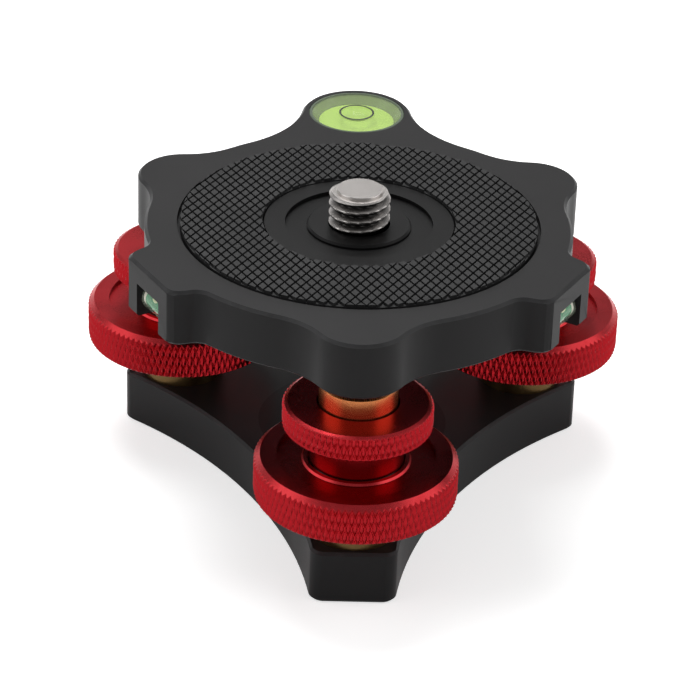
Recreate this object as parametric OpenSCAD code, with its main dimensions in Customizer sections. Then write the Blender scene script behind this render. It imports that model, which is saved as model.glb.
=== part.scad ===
/* [Layout] */
// Distance from the tripod thread to each levelling leg
leg_circle_r = 32; // [31.5:0.1:33]
// Height of a wheel's underside above the base's top
wheel_lift = 6.5; // [5:0.1:9]
// Room between a lock wheel's top and the top plate's underside
plate_lift = 4.25; // [4:0.05:7]

/* [Base] */
// Thickness of the three-armed base
base_h = 8.8; // [7.5:0.1:12]
// Wall between a leg's counterbore and its arm's end face
arm_end_wall = 0.7; // [0.5:0.05:2]
// Half the width of an arm at its end
arm_half_w = 6.4; // [6:0.1:9]
// Rounding of an arm's upright corners
arm_corner_r = 2; // [1:0.1:3]
// Distance from the tripod thread to the middle of a hollow side
waist_r = 19; // [17:0.1:20]
// Chamfer along the base's edges
base_chamfer = 0.4; // [0.2:0.05:0.7]
// Radius of the counterbore under each leg
foot_bore_r = 6.9; // [6.7:0.1:7.2]
// Depth of the counterbore under each leg
foot_bore_depth = 3; // [2.5:0.1:4]

/* [Tripod bush] */
// Radius of the bush in the base
bush_r = 7; // [6:0.1:9]
// Radius of the bush's flange, let into the base's underside
bush_flange_r = 9; // [8:0.1:11]
// Thickness of the bush's flange
bush_flange_h = 1.2; // [0.8:0.1:2]
// Minor radius of the tripod thread
tripod_minor_r = 3.97; // [3.9:0.01:4.05]

/* [Leg bearings] */
// Radius of a bearing bush inside the base
bearing_low_r = 6.1; // [5.8:0.05:6.4]
// Radius of a bearing bush above the base
bearing_high_r = 6.7; // [6.5:0.05:7.2]
// Thickness of the thrust washer under a wheel
thrust_washer_h = 0.4; // [0.3:0.05:1]

/* [Adjusting wheels] */
// Radius over the knurl
wheel_r = 15.4; // [13:0.1:17]
// Thickness of a wheel
wheel_h = 6.4; // [5.5:0.1:8]
// Chamfer round a wheel's underside
wheel_low_chamfer = 0.3; // [0.2:0.05:0.6]
// Width of the chamfer round a wheel's top
wheel_top_chamfer_w = 0.95; // [0.5:0.05:1.5]
// Height of the chamfer round a wheel's top
wheel_top_chamfer_h = 0.85; // [0.4:0.05:1.2]
// Radius of the shallow dish in a wheel's top
dish_r = 12; // [10:0.1:12.5]
// Depth of the dish
dish_depth = 0.65; // [0.3:0.05:1]
// Radius of the counterbore that holds the lock washer
wheel_bore_r = 7; // [6.8:0.05:7.4]
// Depth of that counterbore below a wheel's top
wheel_bore_depth = 2.3; // [2:0.1:3]
// Width of the chamfer round that counterbore
wheel_bore_chamfer_w = 1; // [0.5:0.05:1.5]
// Height of the chamfer round that counterbore
wheel_bore_chamfer_h = 0.75; // [0.4:0.05:1]
// Radius of the spindle under a wheel
spindle_r = 5.25; // [5.1:0.05:5.4]
// Radius of the spindle's threaded end
spindle_end_r = 4.8; // [4.6:0.05:4.9]
// Distance from the base's underside up to the spindle's end
spindle_end_z = 1; // [0.5:0.1:1.4]
// Radius of the ring nut that holds a wheel in the base
retainer_r = 6.5; // [6.3:0.05:6.7]

/* [Lock wheels] */
// Radius over the knurl
lock_r = 11.3; // [10:0.1:12]
// Thickness of the knurled disc
lock_h = 3.9; // [3:0.1:4.5]
// Radius of the hub under the disc
lock_hub_r = 7.1; // [6.8:0.1:8]
// Height of the hub
lock_hub_h = 6.05; // [5.5:0.05:7]
// Width of the chamfer round a lock wheel's top
lock_top_chamfer_w = 0.8; // [0.4:0.05:1.2]
// Height of the chamfer round a lock wheel's top
lock_top_chamfer_h = 0.45; // [0.2:0.05:0.8]
// Radius of the counterbore round the stud's shank
lock_bore_r = 6.2; // [6.2:0.05:6.5]
// Depth of that counterbore below a lock wheel's top
lock_bore_depth = 5.05; // [4.8:0.05:5.4]
// Small chamfer on turned edges
turned_chamfer = 0.3; // [0.15:0.05:0.4]
// Radius of the lock washer
lock_washer_r = 6.75; // [6.5:0.05:6.8]
// Thickness of the lock washer
lock_washer_h = 1.5; // [1.2:0.05:1.8]

/* [Studs] */
// Radius over the stud's thread
stud_thread_r = 4; // [3.8:0.05:4.2]
// Distance from the base's underside up to the stud's lower end
stud_end_z = 4; // [3.5:0.1:5]
// Radius of the smooth shank under the plate
shank_r = 5.9; // [5.4:0.05:5.9]
// Length of the shank
shank_h = 5.8; // [5:0.05:6]
// Room between the shank's top and the plate's underside
shank_gap = 0.8; // [0.7:0.05:1.2]
// Radius of the neck below the ball
neck_r = 1.9; // [1.6:0.05:2]
// Radius of the ball
ball_r = 3.2; // [3:0.05:3.3]

/* [Ball seats] */
// Height of a ball's centre above the plate's underside
pivot_lift = 4.2; // [4.1:0.05:4.3]
// Room between a ball and its seat
ball_play = 0.45; // [0.42:0.01:0.5]
// Thickness of a seat
seat_wall = 0.95; // [0.8:0.05:1]
// Half the height of a seat
seat_half_h = 2.4; // [2.2:0.05:2.5]
// Room above the ball in its pocket
ball_headroom = 0.45; // [0.4:0.01:0.5]
// Radius of the ring that closes a pocket
ball_retainer_r = 6; // [5.9:0.05:6.2]
// Distance from the ball's centre down to that ring's top
ball_retainer_drop = 0.3; // [0.2:0.05:0.5]
// Radius of the hole in that ring
ball_retainer_bore_r = 3.3; // [3.2:0.05:3.5]

/* [Top plate] */
// Thickness of the top plate
plate_h = 9; // [8.8:0.1:11]
// Radius of the plate between its ears
disc_r = 33.2; // [32:0.1:34]
// Chamfer round the plate's top
plate_top_chamfer = 0.45; // [0.3:0.05:0.8]
// Chamfer round the plate's underside
plate_low_chamfer = 0.35; // [0.2:0.05:0.6]
// Radius of the ear over each leg
leg_ear_r = 7.3; // [7.1:0.1:8]
// Fillet between a leg's ear and the plate
leg_ear_fillet = 12; // [8:0.5:14]
// Distance from the centre to a vial ear's round
vial_ear_at = 32.4; // [32:0.1:33]
// Radius of a vial ear
vial_ear_r = 8.15; // [7.8:0.05:8.6]
// Fillet between a vial ear and the plate
vial_ear_fillet = 2.6; // [2:0.1:4]
// Distance from the centre to a vial ear's flat
vial_flat_at = 36.8; // [36.6:0.1:37.4]
// Rounding of a vial ear's upright corners
vial_corner_r = 2; // [1:0.1:2.4]
// Distance from the centre to the round level
bullseye_at = 40.3; // [40:0.1:42]
// Radius of the ear that holds the round level
bullseye_ear_r = 9.05; // [8.7:0.05:10]
// Fillet between that ear and the plate
bullseye_ear_fillet = 19; // [14:0.5:20]

/* [Top face] */
// Outer radius of the rubber pad
pad_r = 27.7; // [25:0.1:27.9]
// Inner radius of the rubber pad
pad_bore_r = 15; // [14.8:0.1:18]
// Room round the pad in its groove
pad_outer_gap = 0.5; // [0.2:0.05:0.7]
// Room inside the pad in its groove
pad_inner_gap = 0.3; // [0.2:0.05:1]
// Depth of the pad's groove
pad_groove_depth = 1; // [0.7:0.05:1.1]
// Height of the pad above the plate
pad_proud = 0.5; // [0.2:0.05:1]
// Chamfer round the pad's top edges
pad_chamfer = 0.15; // [0.1:0.05:0.2]
// Radius of the hollow round the centre collar
hollow_r = 11.5; // [9.5:0.1:12.5]
// Depth of the hollow
hollow_depth = 0.6; // [0.3:0.05:0.9]
// Radius of the centre collar
collar_r = 8.1; // [7.5:0.1:9]
// Height of the centre collar
collar_h = 3.2; // [2.5:0.1:3.6]
// Radius of the countersink in the collar
collar_sink_r = 5.6; // [5.3:0.05:6.5]
// Depth of the countersink
collar_sink_depth = 0.9; // [0.5:0.05:1.5]

/* [Camera screw] */
// Radius over the camera screw's thread
screw_r = 4.7625; // [4.7:0.0025:4.8]
// Pitch of the camera and tripod threads
screw_pitch = 1.5875; // [1.27:0.0025:1.6]
// Height of the screw's tip above the plate
screw_stand = 5.9; // [5:0.1:8]
// Radius of the screw's flat tip
screw_tip_r = 3.6; // [3.2:0.05:3.9]
// Height of the cone at the screw's tip
screw_tip_cone_h = 0.8; // [0.5:0.05:1.2]
// Radius of the screw's head
screw_head_r = 7.5; // [6.5:0.1:8]
// Height of the screw's head
screw_head_h = 2.5; // [2:0.1:3]
// Radius of the ring that holds the head
screw_ring_r = 9.5; // [9:0.1:11]
// Thickness of that ring
screw_ring_h = 1.6; // [1.2:0.1:1.8]
// Radius of the hole in that ring
screw_ring_bore_r = 3.6; // [3:0.1:4]

/* [Round level] */
// Radius of the round level's body
bullseye_r = 7.9; // [7.5:0.05:8]
// Depth of the round level's seat
bullseye_depth = 5.4; // [5:0.1:6.5]
// Radius of its liquid
bullseye_fluid_r = 5.9; // [5.5:0.05:6.4]
// Thickness of the clear top over the liquid
bullseye_lens_h = 0.9; // [0.6:0.05:1.2]
// Depth of its liquid
bullseye_fluid_h = 1.2; // [1.1:0.05:1.6]
// Radius of its bubble
bubble_r = 2.2; // [1.6:0.05:2.6]
// Depth of its bubble
bubble_depth = 0.8; // [0.5:0.05:1]
// Distance of the bubble from the middle, to the right
bubble_right = 1; // [0:0.1:1.5]
// Distance of the bubble from the middle, to the back
bubble_back = 1.3; // [0:0.1:1.5]

/* [Tube levels] */
// Half the width of a tube level's notch
notch_half_w = 3.5; // [3.2:0.05:4]
// Distance from the plate's top down to a notch
notch_drop = 3.4; // [3:0.05:3.8]
// Distance from the centre to a notch's back wall
notch_back_at = 32.3; // [32:0.05:32.5]
// Radius of a tube level
tube_r = 2.1; // [1.6:0.05:2.15]
// Length of a tube level
tube_len = 5.9; // [5:0.05:6.3]
// Wall of a tube level
tube_wall = 0.35; // [0.25:0.05:0.4]
// Thickness of a tube level's end cap
tube_cap_h = 0.6; // [0.4:0.05:0.8]
// Radius of the sphere that hollows a tube level's bubble
tube_bubble_r = 1.5; // [1.2:0.05:1.8]

/* [Hidden] */
$fn = 96;

// Three legs, the first one at the front
leg_count = 3;
first_leg_angle = -90;
leg_step = 360 / leg_count;
half_step = leg_step / 2;
// The round level's ear is at the back, and the tube levels' ears are at the front's two sides
bullseye_angle = 90;
vial_ear_angle = -30;

// An upright corner's facet has chamfers this much wider than those of the sides
corner_chamfer_extra = 0.1;
// Overrun of every cut
over = 0.5;
// Radial clearance of pieces that are fixed in each other
fixed_gap = 0.02;
// Clearance of faces that turn or slide on each other
face_gap = 0.05;
// Radial clearance of shafts and threads that turn
running_gap = 0.05;
// Radial clearance of the lock washer round the stud
washer_gap = 0.35;
// Distance from a closing ring's face to the face that it is let into
ring_drop = 0.3;

// Spanner slots in the round nuts and rings
slot_w = 1.6;
slot_depth = 0.7;

// Thread forms as shares of the pitch
thread_depth_share = 0.541;
thread_crest_share = 0.125;
thread_root_share = 0.25;

// Heights above the base's underside
wheel_z = base_h + wheel_lift;
wheel_top_z = wheel_z + wheel_h;
washer_z = wheel_top_z - wheel_bore_depth + face_gap;
lock_z = washer_z + lock_washer_h + face_gap;
lock_disc_z = lock_z + lock_hub_h;
lock_top_z = lock_disc_z + lock_h;
plate_z = lock_top_z + plate_lift;
plate_top_z = plate_z + plate_h;
pivot_z = plate_z + pivot_lift;
shank_top_z = plate_z - shank_gap;
shank_z = shank_top_z - shank_h;
thrust_z = wheel_z - face_gap - thrust_washer_h;
nut_top_z = foot_bore_depth - face_gap;

// Spherical surfaces round each ball
seat_inner_r = ball_r + ball_play;
seat_outer_r = seat_inner_r + seat_wall;
pocket_r = seat_outer_r + face_gap;
pocket_top_z = pivot_z + ball_r + ball_headroom;
pocket_shoulder_z = pivot_z - ball_retainer_drop;

// The base's hollow sides: one arc from arm to arm, through the waist
arm_reach = leg_circle_r + foot_bore_r + arm_end_wall;
arm_chord = arm_reach * cos(half_step) + arm_half_w * sin(half_step);
side_arc_r = (pow(arm_reach, 2) + pow(arm_half_w, 2) + pow(waist_r, 2) - 2 * waist_r * arm_chord)
    / (2 * (arm_chord - waist_r));
side_arc_at = waist_r + side_arc_r;
side_arc_point = side_arc_at * [cos(half_step), sin(half_step)];
arm_corner_u = arm_reach - arm_corner_r;
arm_corner_v = side_arc_point.y
    - sqrt(pow(side_arc_r + arm_corner_r, 2) - pow(side_arc_point.x - arm_corner_u, 2));
arm_corner_turn = atan2(side_arc_point.y - arm_corner_v, side_arc_point.x - arm_corner_u);

// Corners of a vial ear's flat
vial_corner_u = vial_flat_at - vial_corner_r;
vial_corner_v = sqrt(pow(vial_ear_r - vial_corner_r, 2) - pow(vial_corner_u - vial_ear_at, 2));
vial_corner_turn = atan2(vial_corner_v, vial_corner_u - vial_ear_at);

// The camera screw's seat, counted from the top plate's underside
screw_ring_z = plate_z + ring_drop;
screw_head_z = screw_ring_z + screw_ring_h;
screw_neck_z = screw_head_z + screw_head_h;
screw_tip_z = plate_top_z + screw_stand;
collar_z = plate_top_z - collar_h;
screw_core_r = screw_r - thread_depth_share * screw_pitch;
screw_bore_r = screw_r + running_gap;

// The round level, from its seat up
bullseye_seat_z = plate_top_z - bullseye_depth;
bullseye_ceiling_z = plate_top_z - bullseye_lens_h;
bullseye_floor_z = bullseye_ceiling_z - bullseye_fluid_h;
// Sphere that cuts a bubble as wide and as deep as stated
bubble_sphere_r = (pow(bubble_r, 2) + pow(bubble_depth, 2)) / (2 * bubble_depth);

// The tube levels, which lie against their notch's back wall and ceiling
notch_top_z = plate_top_z - notch_drop;
tube_at = notch_back_at + tube_r + fixed_gap;
tube_z = notch_top_z - tube_r - fixed_gap;
tube_side = notch_half_w - tube_len - fixed_gap;
tube_inner_r = tube_r - tube_wall;

function leg_angle(leg) = first_leg_angle + (leg - 1) * leg_step;

function turned_point(point, turn) =
    [point.x * cos(turn) - point.y * sin(turn), point.x * sin(turn) + point.y * cos(turn)];

// Angle at the plate's centre from an ear's middle to the fillet beside it
function fillet_angle(ear_at, ear_r, fillet_r) =
    acos((pow(ear_at, 2) + pow(disc_r + fillet_r, 2) - pow(ear_r + fillet_r, 2))
        / (2 * ear_at * (disc_r + fillet_r)));
function fillet_point(ear_at, ear_r, fillet_r, side) =
    turned_point([disc_r + fillet_r, 0], side * fillet_angle(ear_at, ear_r, fillet_r));

// Outline of a thread's side, from low to high: lands at crest_r and valleys at root_r
function thread_side(crest_r, root_r, low, turns) =
    let (crest = screw_pitch * thread_crest_share,
        valley = screw_pitch * thread_root_share,
        flank = (screw_pitch - crest - valley) / 2)
    [for (turn = [0:turns - 1])
        let (z = low + turn * screw_pitch)
        each [[crest_r, z], [crest_r, z + crest],
            [root_r, z + crest + flank], [root_r, z + crest + flank + valley]]];

module on_leg(leg) {
    rotate([0, 0, leg_angle(leg)])
        translate([leg_circle_r, 0, 0])
            children();
}

module on_every_leg() {
    for (leg = [1:leg_count])
        on_leg(leg)
            children();
}

// The front right vial ear and its mirror image
module on_vial_ears() {
    for (side = [0, 1])
        mirror([side, 0, 0])
            rotate([0, 0, vial_ear_angle])
                children();
}

module on_bullseye() {
    rotate([0, 0, bullseye_angle])
        translate([bullseye_at, 0, 0])
            rotate([0, 0, -bullseye_angle])
                children();
}

// Disc that stands on z = 0 with both rims chamfered
module chamfered_disc(r, h, low_cut, high_cut) {
    rotate_extrude()
        polygon([[0, 0], [r - low_cut, 0], [r, low_cut], [r, h - high_cut], [r - high_cut, h], [0, h]]);
}

// Cutter for a hollow side of radius r, wider at both faces for the chamfers
module hollow_side_cutter(r, h, low_cut, high_cut) {
    rotate_extrude()
        polygon([[0, -over], [r + low_cut + over, -over], [r, low_cut],
            [r, h - high_cut], [r + high_cut + over, h + over], [0, h + over]]);
}

// Cutter for everything beyond x = at, with a chamfer at both faces
module flat_side_cutter(at, half_w, h, low_cut, high_cut) {
    rotate([90, 0, 0])
        linear_extrude(2 * half_w, center = true)
            polygon([[at - low_cut - over, -over], [at, low_cut], [at, h - high_cut],
                [at - high_cut - over, h + over], [at + half_w, h + over], [at + half_w, -over]]);
}

// Cutters for the facet on both upright corners of a flat side
module corner_cutters(corner, r, turn, half_w, h, low_cut, high_cut) {
    for (side = [-1, 1])
        translate([corner.x, side * corner.y, 0])
            rotate([0, 0, side * turn / 2])
                flat_side_cutter(r, half_w, h, low_cut + corner_chamfer_extra,
                    high_cut + corner_chamfer_extra);
}

// Straight slot across a ring's underside, for a pin spanner
module spanner_slots(r, z) {
    translate([-r - over, -slot_w / 2, z - over])
        cube([2 * (r + over), slot_w, slot_depth + over]);
}

// Cutters for the end of the arm along x and for the hollow side after it
module arm_side_cutters() {
    flat_side_cutter(arm_reach, arm_half_w + arm_corner_r, base_h, base_chamfer, base_chamfer);
    corner_cutters([arm_corner_u, arm_corner_v], arm_corner_r, arm_corner_turn,
        arm_half_w, base_h, base_chamfer, base_chamfer);
    translate(side_arc_point)
        hollow_side_cutter(side_arc_r, base_h, base_chamfer, base_chamfer);
}

module base_blank() {
    difference() {
        linear_extrude(base_h)
            polygon([for (leg = [1:leg_count], corner = [[arm_reach, -arm_half_w - arm_corner_r],
                    [arm_reach, arm_half_w + arm_corner_r], side_arc_point])
                turned_point(corner, leg_angle(leg))]);
        for (leg = [1:leg_count])
            rotate([0, 0, leg_angle(leg)])
                arm_side_cutters();
    }
}

module base_plate() {
    color("#2a2a2c")
        difference() {
            base_blank();
            translate([0, 0, -over])
                cylinder(r = bush_r + fixed_gap, h = base_h + 2 * over);
            translate([0, 0, -over])
                cylinder(r = bush_flange_r + fixed_gap, h = bush_flange_h + over);
            on_every_leg() {
                translate([0, 0, -over])
                    cylinder(r = bearing_low_r + fixed_gap, h = base_h + 2 * over);
                translate([0, 0, -over])
                    cylinder(r = foot_bore_r, h = foot_bore_depth + over);
            }
        }
}

// Flanged insert with the thread that a tripod's screw goes into
module tripod_bush() {
    turns = floor(base_h / screw_pitch);
    top_land = base_h - turns * screw_pitch;
    color("#b9a26a")
        difference() {
            rotate_extrude()
                polygon(concat(
                    thread_side(tripod_minor_r, screw_r, 0, turns),
                    [[tripod_minor_r, base_h - top_land], [tripod_minor_r, base_h], [bush_r, base_h],
                        [bush_r, bush_flange_h], [bush_flange_r, bush_flange_h], [bush_flange_r, 0]]));
            difference() {
                spanner_slots(bush_flange_r, 0);
                translate([0, 0, -2 * over])
                    cylinder(r = bush_r, h = base_h);
            }
        }
}

module bearing_bushes() {
    color("#b08d57")
        on_every_leg()
            rotate_extrude()
                polygon([[spindle_r + running_gap, foot_bore_depth], [bearing_low_r, foot_bore_depth],
                    [bearing_low_r, base_h], [bearing_high_r, base_h],
                    [bearing_high_r, thrust_z], [spindle_r + running_gap, thrust_z]]);
}

module thrust_washers() {
    color("#1c1c1c")
        on_every_leg()
            translate([0, 0, thrust_z])
                difference() {
                    cylinder(r = bearing_high_r, h = thrust_washer_h);
                    translate([0, 0, -over])
                        cylinder(r = spindle_r + running_gap, h = thrust_washer_h + 2 * over);
                }
}

// Knurled wheel with its dish, the washer's counterbore, and the threaded spindle under it
module adjusting_wheel() {
    bore_r = stud_thread_r + running_gap;
    dish_z = wheel_top_z - dish_depth;
    color("#c3121f")
        rotate_extrude()
            polygon([[bore_r, spindle_end_z], [spindle_end_r, spindle_end_z], [spindle_end_r, nut_top_z],
                [spindle_r, nut_top_z], [spindle_r, wheel_z],
                [wheel_r - wheel_low_chamfer, wheel_z], [wheel_r, wheel_z + wheel_low_chamfer],
                [wheel_r, wheel_top_z - wheel_top_chamfer_h],
                [wheel_r - wheel_top_chamfer_w, wheel_top_z], [dish_r, wheel_top_z], [dish_r, dish_z],
                [wheel_bore_r + wheel_bore_chamfer_w, dish_z],
                [wheel_bore_r, dish_z - wheel_bore_chamfer_h],
                [wheel_bore_r, wheel_top_z - wheel_bore_depth],
                [bore_r, wheel_top_z - wheel_bore_depth]]);
}

module wheel_retainer() {
    color("#8d8f94")
        difference() {
            translate([0, 0, spindle_end_z])
                cylinder(r = retainer_r, h = nut_top_z - spindle_end_z);
            cylinder(r = spindle_end_r + fixed_gap, h = base_h);
            spanner_slots(retainer_r, spindle_end_z);
        }
}

module lock_washer() {
    color("#161616")
        translate([0, 0, washer_z])
            difference() {
                chamfered_disc(lock_washer_r, lock_washer_h, turned_chamfer, turned_chamfer);
                translate([0, 0, -over])
                    cylinder(r = stud_thread_r + washer_gap, h = lock_washer_h + 2 * over);
            }
}

// Smaller knurled wheel with a hub below, turned down onto the lock washer
module lock_wheel() {
    bore_r = stud_thread_r + running_gap;
    color("#c3121f")
        rotate_extrude()
            polygon([[bore_r, lock_z], [lock_hub_r - turned_chamfer, lock_z],
                [lock_hub_r, lock_z + turned_chamfer], [lock_hub_r, lock_disc_z],
                [lock_r - turned_chamfer, lock_disc_z], [lock_r, lock_disc_z + turned_chamfer],
                [lock_r, lock_top_z - lock_top_chamfer_h], [lock_r - lock_top_chamfer_w, lock_top_z],
                [lock_bore_r, lock_top_z], [lock_bore_r, lock_top_z - lock_bore_depth],
                [bore_r, lock_top_z - lock_bore_depth]]);
}

// Threaded stud with a smooth shank, a neck and the ball that carries the plate
module stud() {
    color("#b87333")
        union() {
            rotate_extrude()
                polygon([[0, stud_end_z], [stud_thread_r - turned_chamfer, stud_end_z],
                    [stud_thread_r, stud_end_z + turned_chamfer], [stud_thread_r, shank_z],
                    [shank_r - turned_chamfer, shank_z], [shank_r, shank_z + turned_chamfer],
                    [shank_r, shank_top_z - turned_chamfer], [shank_r - turned_chamfer, shank_top_z],
                    [neck_r, shank_top_z], [neck_r, pivot_z], [0, pivot_z]]);
            translate([0, 0, pivot_z])
                sphere(r = ball_r);
        }
}

// Plastic ring between the ball and its pocket, a zone of a hollow sphere
module ball_seat() {
    color("#e8e4d8")
        translate([0, 0, pivot_z])
            difference() {
                intersection() {
                    sphere(r = seat_outer_r);
                    cylinder(r = pocket_r, h = 2 * seat_half_h, center = true);
                }
                sphere(r = seat_inner_r);
            }
}

// Pocket for the ball and its seat, open below for the ring that closes it
module ball_pocket() {
    translate([0, 0, plate_z - over])
        cylinder(r = ball_retainer_r + fixed_gap, h = pocket_shoulder_z - plate_z + over);
    translate([0, 0, pivot_z])
        intersection() {
            sphere(r = pocket_r);
            translate([0, 0, -pivot_lift])
                cylinder(r = pocket_r, h = pocket_top_z - plate_z);
        }
}

module ball_retainers() {
    ring_z = plate_z + ring_drop;
    color("#8d8f94")
        on_every_leg()
            difference() {
                translate([0, 0, ring_z])
                    cylinder(r = ball_retainer_r, h = pocket_shoulder_z - ring_z);
                translate([0, 0, pivot_z])
                    sphere(r = pocket_r);
                translate([0, 0, plate_z])
                    cylinder(r = ball_retainer_bore_r, h = pivot_lift);
                spanner_slots(ball_retainer_r, ring_z);
            }
}

// Round ear at a distance from the centre, with a fillet on each side
module ear(ear_at, ear_r, fillet_r) {
    for (side = [-1, 1])
        difference() {
            linear_extrude(plate_h)
                polygon([[0, 0], [ear_at, 0], fillet_point(ear_at, ear_r, fillet_r, side)]);
            translate(fillet_point(ear_at, ear_r, fillet_r, side))
                hollow_side_cutter(fillet_r, plate_h, plate_low_chamfer, plate_top_chamfer);
        }
    translate([ear_at, 0, 0])
        chamfered_disc(ear_r, plate_h, plate_low_chamfer, plate_top_chamfer);
}

// Ear with a flat end and a facet on both upright corners
module flat_ear() {
    difference() {
        ear(vial_ear_at, vial_ear_r, vial_ear_fillet);
        flat_side_cutter(vial_flat_at, vial_ear_r, plate_h, plate_low_chamfer, plate_top_chamfer);
        corner_cutters([vial_corner_u, vial_corner_v], vial_corner_r, vial_corner_turn,
            vial_ear_r, plate_h, plate_low_chamfer, plate_top_chamfer);
    }
}

module plate_blank() {
    chamfered_disc(disc_r, plate_h, plate_low_chamfer, plate_top_chamfer);
    for (leg = [1:leg_count])
        rotate([0, 0, leg_angle(leg)])
            ear(leg_circle_r, leg_ear_r, leg_ear_fillet);
    rotate([0, 0, bullseye_angle])
        ear(bullseye_at, bullseye_ear_r, bullseye_ear_fillet);
    on_vial_ears()
        flat_ear();
}

module plate_top_cuts() {
    translate([0, 0, plate_top_z - pad_groove_depth])
        difference() {
            cylinder(r = pad_r + pad_outer_gap, h = pad_groove_depth + over);
            cylinder(r = pad_bore_r - pad_inner_gap, h = pad_groove_depth + over);
        }
    translate([0, 0, plate_top_z - hollow_depth])
        cylinder(r = hollow_r, h = hollow_depth + over);
    translate([0, 0, collar_z])
        cylinder(r = collar_r + fixed_gap, h = collar_h + over);
    on_bullseye()
        translate([0, 0, bullseye_seat_z])
            cylinder(r = bullseye_r + fixed_gap, h = bullseye_depth + over);
}

module plate_low_cuts() {
    on_every_leg()
        ball_pocket();
    translate([0, 0, plate_z - over])
        cylinder(r = screw_bore_r, h = plate_h + 2 * over);
    translate([0, 0, plate_z - over])
        cylinder(r = screw_ring_r + fixed_gap, h = screw_head_z - plate_z + over);
    translate([0, 0, plate_z - over])
        cylinder(r = screw_head_r + fixed_gap, h = screw_neck_z - plate_z + over);
    on_vial_ears()
        translate([notch_back_at, -notch_half_w, plate_z - over])
            cube([vial_ear_r, 2 * notch_half_w, notch_top_z - plate_z + over]);
}

module top_plate() {
    color("#2a2a2c")
        difference() {
            translate([0, 0, plate_z])
                plate_blank();
            plate_top_cuts();
            plate_low_cuts();
        }
}

module rubber_pad() {
    pad_h = pad_groove_depth + pad_proud;
    color("#3a3a3b")
        translate([0, 0, plate_top_z - pad_groove_depth])
            rotate_extrude()
                polygon([[pad_bore_r, 0], [pad_r, 0], [pad_r, pad_h - pad_chamfer],
                    [pad_r - pad_chamfer, pad_h], [pad_bore_r + pad_chamfer, pad_h],
                    [pad_bore_r, pad_h - pad_chamfer]]);
}

module centre_collar() {
    color("#2a2a2c")
        translate([0, 0, collar_z])
            rotate_extrude()
                polygon([[screw_bore_r, 0], [collar_r, 0], [collar_r, collar_h - turned_chamfer],
                    [collar_r - turned_chamfer, collar_h], [collar_sink_r, collar_h],
                    [screw_bore_r, collar_h - collar_sink_depth]]);
}

// Headed screw with a slim neck, threaded above the plate, with a true land on every crest
module camera_screw() {
    cone_z = screw_tip_z - screw_tip_cone_h;
    last_land_z = cone_z - thread_crest_share * screw_pitch;
    turns = floor((last_land_z - plate_top_z) / screw_pitch);
    thread_z = last_land_z - turns * screw_pitch;
    color("#c9ccd0")
        rotate_extrude()
            polygon(concat(
                [[0, screw_head_z], [screw_head_r - turned_chamfer, screw_head_z],
                    [screw_head_r, screw_head_z + turned_chamfer], [screw_head_r, screw_neck_z],
                    [screw_core_r, screw_neck_z], [screw_core_r, thread_z]],
                thread_side(screw_r, screw_core_r, thread_z, turns),
                [[screw_r, last_land_z], [screw_r, cone_z], [screw_tip_r, screw_tip_z],
                    [0, screw_tip_z]]));
}

module screw_ring() {
    color("#2a2a2c")
        difference() {
            translate([0, 0, screw_ring_z])
                cylinder(r = screw_ring_r, h = screw_ring_h);
            translate([0, 0, screw_ring_z - over])
                cylinder(r = screw_ring_bore_r, h = screw_ring_h + 2 * over);
            spanner_slots(screw_ring_r, screw_ring_z);
        }
}

module bullseye_body() {
    color("#b8c46a", 0.5)
        on_bullseye()
            difference() {
                translate([0, 0, bullseye_seat_z])
                    chamfered_disc(bullseye_r, bullseye_depth, turned_chamfer, turned_chamfer);
                translate([0, 0, bullseye_seat_z - over])
                    cylinder(r = bullseye_fluid_r, h = bullseye_ceiling_z - bullseye_seat_z + over);
            }
}

module bullseye_fluid() {
    ceiling = bullseye_ceiling_z - fixed_gap;
    color("#c5e34a", 0.6)
        on_bullseye()
            difference() {
                translate([0, 0, bullseye_floor_z])
                    cylinder(r = bullseye_fluid_r - fixed_gap, h = ceiling - bullseye_floor_z);
                translate([bubble_right, bubble_back, ceiling - bubble_depth + bubble_sphere_r])
                    sphere(r = bubble_sphere_r);
            }
}

module bullseye_backing() {
    color("#d2ef4f")
        on_bullseye()
            translate([0, 0, bullseye_seat_z])
                cylinder(r = bullseye_fluid_r - fixed_gap, h = bullseye_floor_z - bullseye_seat_z);
}

// Frame of a tube level: z along the tube from its open end, x away from the plate's centre
module on_tubes() {
    on_vial_ears()
        translate([tube_at, -tube_side, tube_z])
            rotate([90, 0, 0])
                children();
}

module tube_vials() {
    color("#9fd8b4", 0.5)
        on_tubes()
            difference() {
                cylinder(r = tube_r, h = tube_len);
                translate([0, 0, -over])
                    cylinder(r = tube_inner_r, h = tube_len - tube_wall + over);
            }
}

module tube_fluids() {
    fluid_h = tube_len - tube_wall - tube_cap_h - fixed_gap;
    color("#3fae6c", 0.7)
        on_tubes()
            translate([0, 0, tube_cap_h])
                difference() {
                    cylinder(r = tube_inner_r - fixed_gap, h = fluid_h);
                    translate([0, tube_inner_r + tube_bubble_r / 2, fluid_h / 2])
                        sphere(r = tube_bubble_r);
                }
}

module tube_caps() {
    color("#e9efe6")
        on_tubes()
            cylinder(r = tube_inner_r - fixed_gap, h = tube_cap_h);
}

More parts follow.
